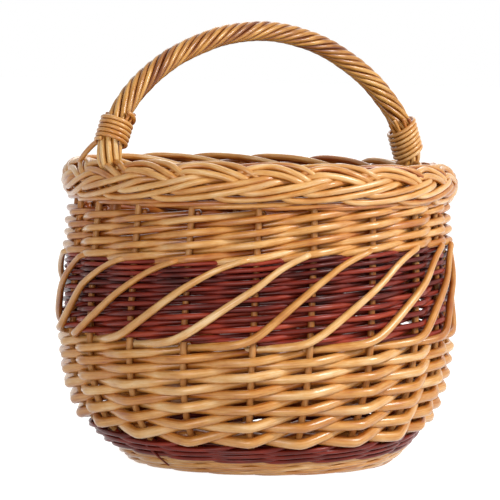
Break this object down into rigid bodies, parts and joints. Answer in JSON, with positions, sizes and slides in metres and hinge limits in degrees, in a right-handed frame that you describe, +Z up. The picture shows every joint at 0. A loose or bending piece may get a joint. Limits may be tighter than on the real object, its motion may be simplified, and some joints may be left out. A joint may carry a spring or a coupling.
{
  "type": "wicker shopping basket",
  "caption": "Round willow basket with a rounded foot, a dark band under slanting rods, a plaited border and a fixed roped bow handle.",
  "frame": {"origin": "on the ground, under the middle of the basket", "axes": "+Z up, X along the handle from foot to foot, Y across the handle"},
  "size_m": [0.4111, 0.3849, 0.4388],
  "materials": {
    "buff_willow": "varnished satin",
    "pale_stake_willow": "varnished satin",
    "dark_red_willow": "varnished satin",
    "base_willow": "plain dull"
  },
  "bodies": {
    "root": {"stake_01": "pale_stake_willow", "stake_02": "pale_stake_willow", "stake_03": "pale_stake_willow", "stake_04": "pale_stake_willow", "stake_05": "pale_stake_willow", "stake_06": "pale_stake_willow", "stake_07": "pale_stake_willow", "stake_08": "pale_stake_willow", "stake_09": "pale_stake_willow", "stake_10": "pale_stake_willow", "stake_11": "pale_stake_willow", "stake_12": "pale_stake_willow", "stake_13": "pale_stake_willow", "stake_14": "pale_stake_willow", "stake_15": "pale_stake_willow", "stake_16": "pale_stake_willow", "stake_17": "pale_stake_willow", "stake_18": "pale_stake_willow", "stake_19": "pale_stake_willow", "stake_20": "pale_stake_willow", "slant_rod_01": "buff_willow", "slant_rod_02": "buff_willow", "slant_rod_03": "buff_willow", "slant_rod_04": "buff_willow", "slant_rod_05": "buff_willow", "slant_rod_06": "buff_willow", "slant_rod_07": "buff_willow", "slant_rod_08": "buff_willow", "slant_rod_09": "buff_willow", "slant_rod_10": "buff_willow", "slant_rod_11": "buff_willow", "slant_rod_12": "buff_willow", "slant_rod_13": "buff_willow", "slant_rod_14": "buff_willow", "slant_rod_15": "buff_willow", "slant_rod_16": "buff_willow", "slant_rod_17": "buff_willow", "slant_rod_18": "buff_willow", "slant_rod_19": "buff_willow", "slant_rod_20": "buff_willow", "base_stick_slit_1": "base_willow", "base_stick_slit_2": "base_willow", "base_stick_slit_3": "base_willow", "base_stick_slit_4": "base_willow", "base_stick_threaded_1": "base_willow", "base_stick_threaded_2": "base_willow", "base_stick_threaded_3": "base_willow", "base_stick_threaded_4": "base_willow", "base_weave": "base_willow", "foot_wale": "buff_willow", "dark_wale": "dark_red_willow", "lower_weave": "buff_willow", "dark_band": "dark_red_willow", "upper_weave": "buff_willow", "top_wale": "buff_willow", "plaited_border": "buff_willow", "handle_bow": "buff_willow", "handle_roping": "buff_willow", "handle_binding_left": "buff_willow", "handle_binding_right": "buff_willow"}
  },
  "joints": []
}
